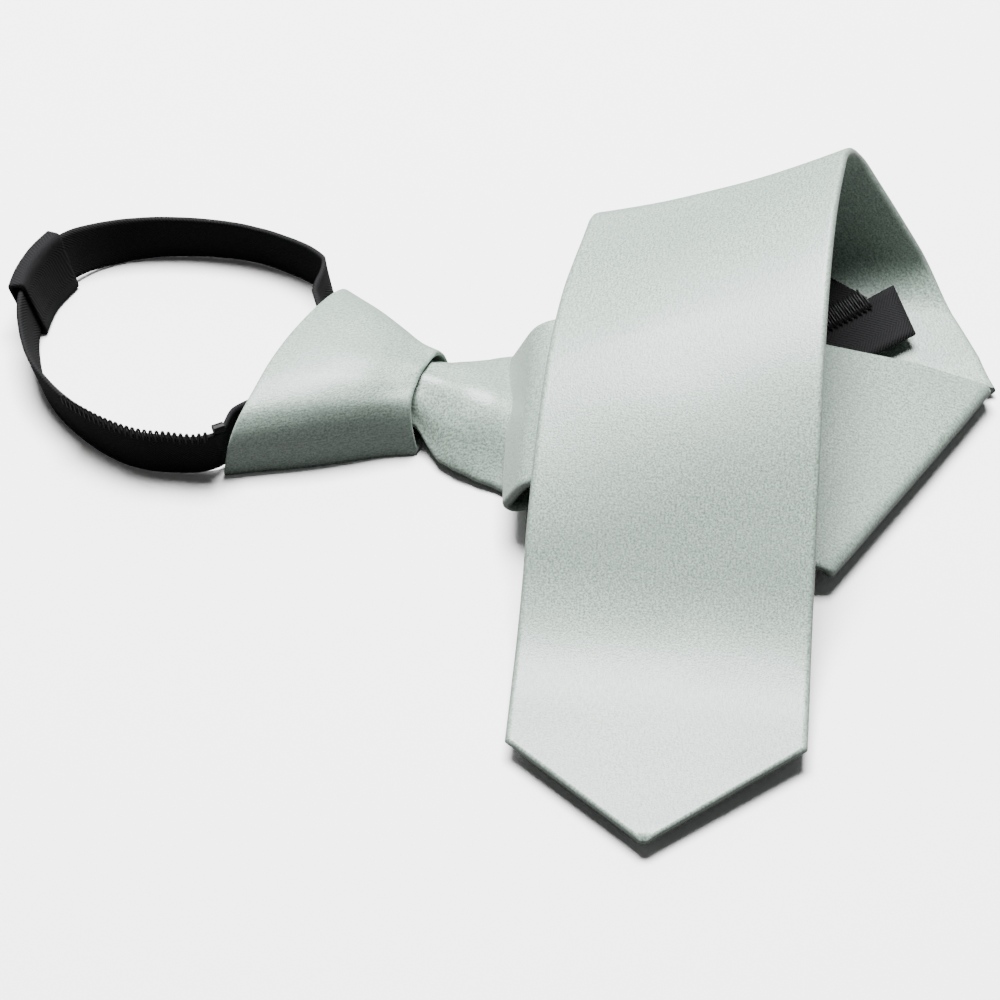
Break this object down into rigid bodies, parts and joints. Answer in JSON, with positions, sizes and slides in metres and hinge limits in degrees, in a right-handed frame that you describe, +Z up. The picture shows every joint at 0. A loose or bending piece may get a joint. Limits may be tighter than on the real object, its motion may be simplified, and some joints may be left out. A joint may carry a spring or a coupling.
{
  "type": "pre-tied zip necktie",
  "caption": "Boy's pre-tied necktie with a hollow knot, a black zip-tape neck loop and a padded satin blade folded and rolled so that its pointed end lies in front.",
  "frame": {"origin": "middle of the laid-out tie's box on the surface it lies on", "axes": "+X from the neck loop towards the folded blade, +Y away from the pointed end, +Z up off the surface"},
  "size_m": [0.2204, 0.1684, 0.0524],
  "materials": {
    "satin": "silver-green satin with a fine grainy weave and a soft sheen",
    "tape": "matt black woven polyester tape",
    "coil": "black nylon coil with a slight gloss",
    "enamel": "black enamelled metal"
  },
  "bodies": {
    "root": {"blade": "satin", "knot_shell": "satin", "zip_tape_near": "tape", "zip_tape_far": "tape", "zip_teeth_near": "coil", "zip_teeth_far": "coil", "back_tab": "tape", "zip_tail_near": "tape", "zip_tail_far": "tape", "zip_tail_teeth": "coil", "zip_slider": "enamel", "zip_stop": "enamel"}
  },
  "joints": []
}
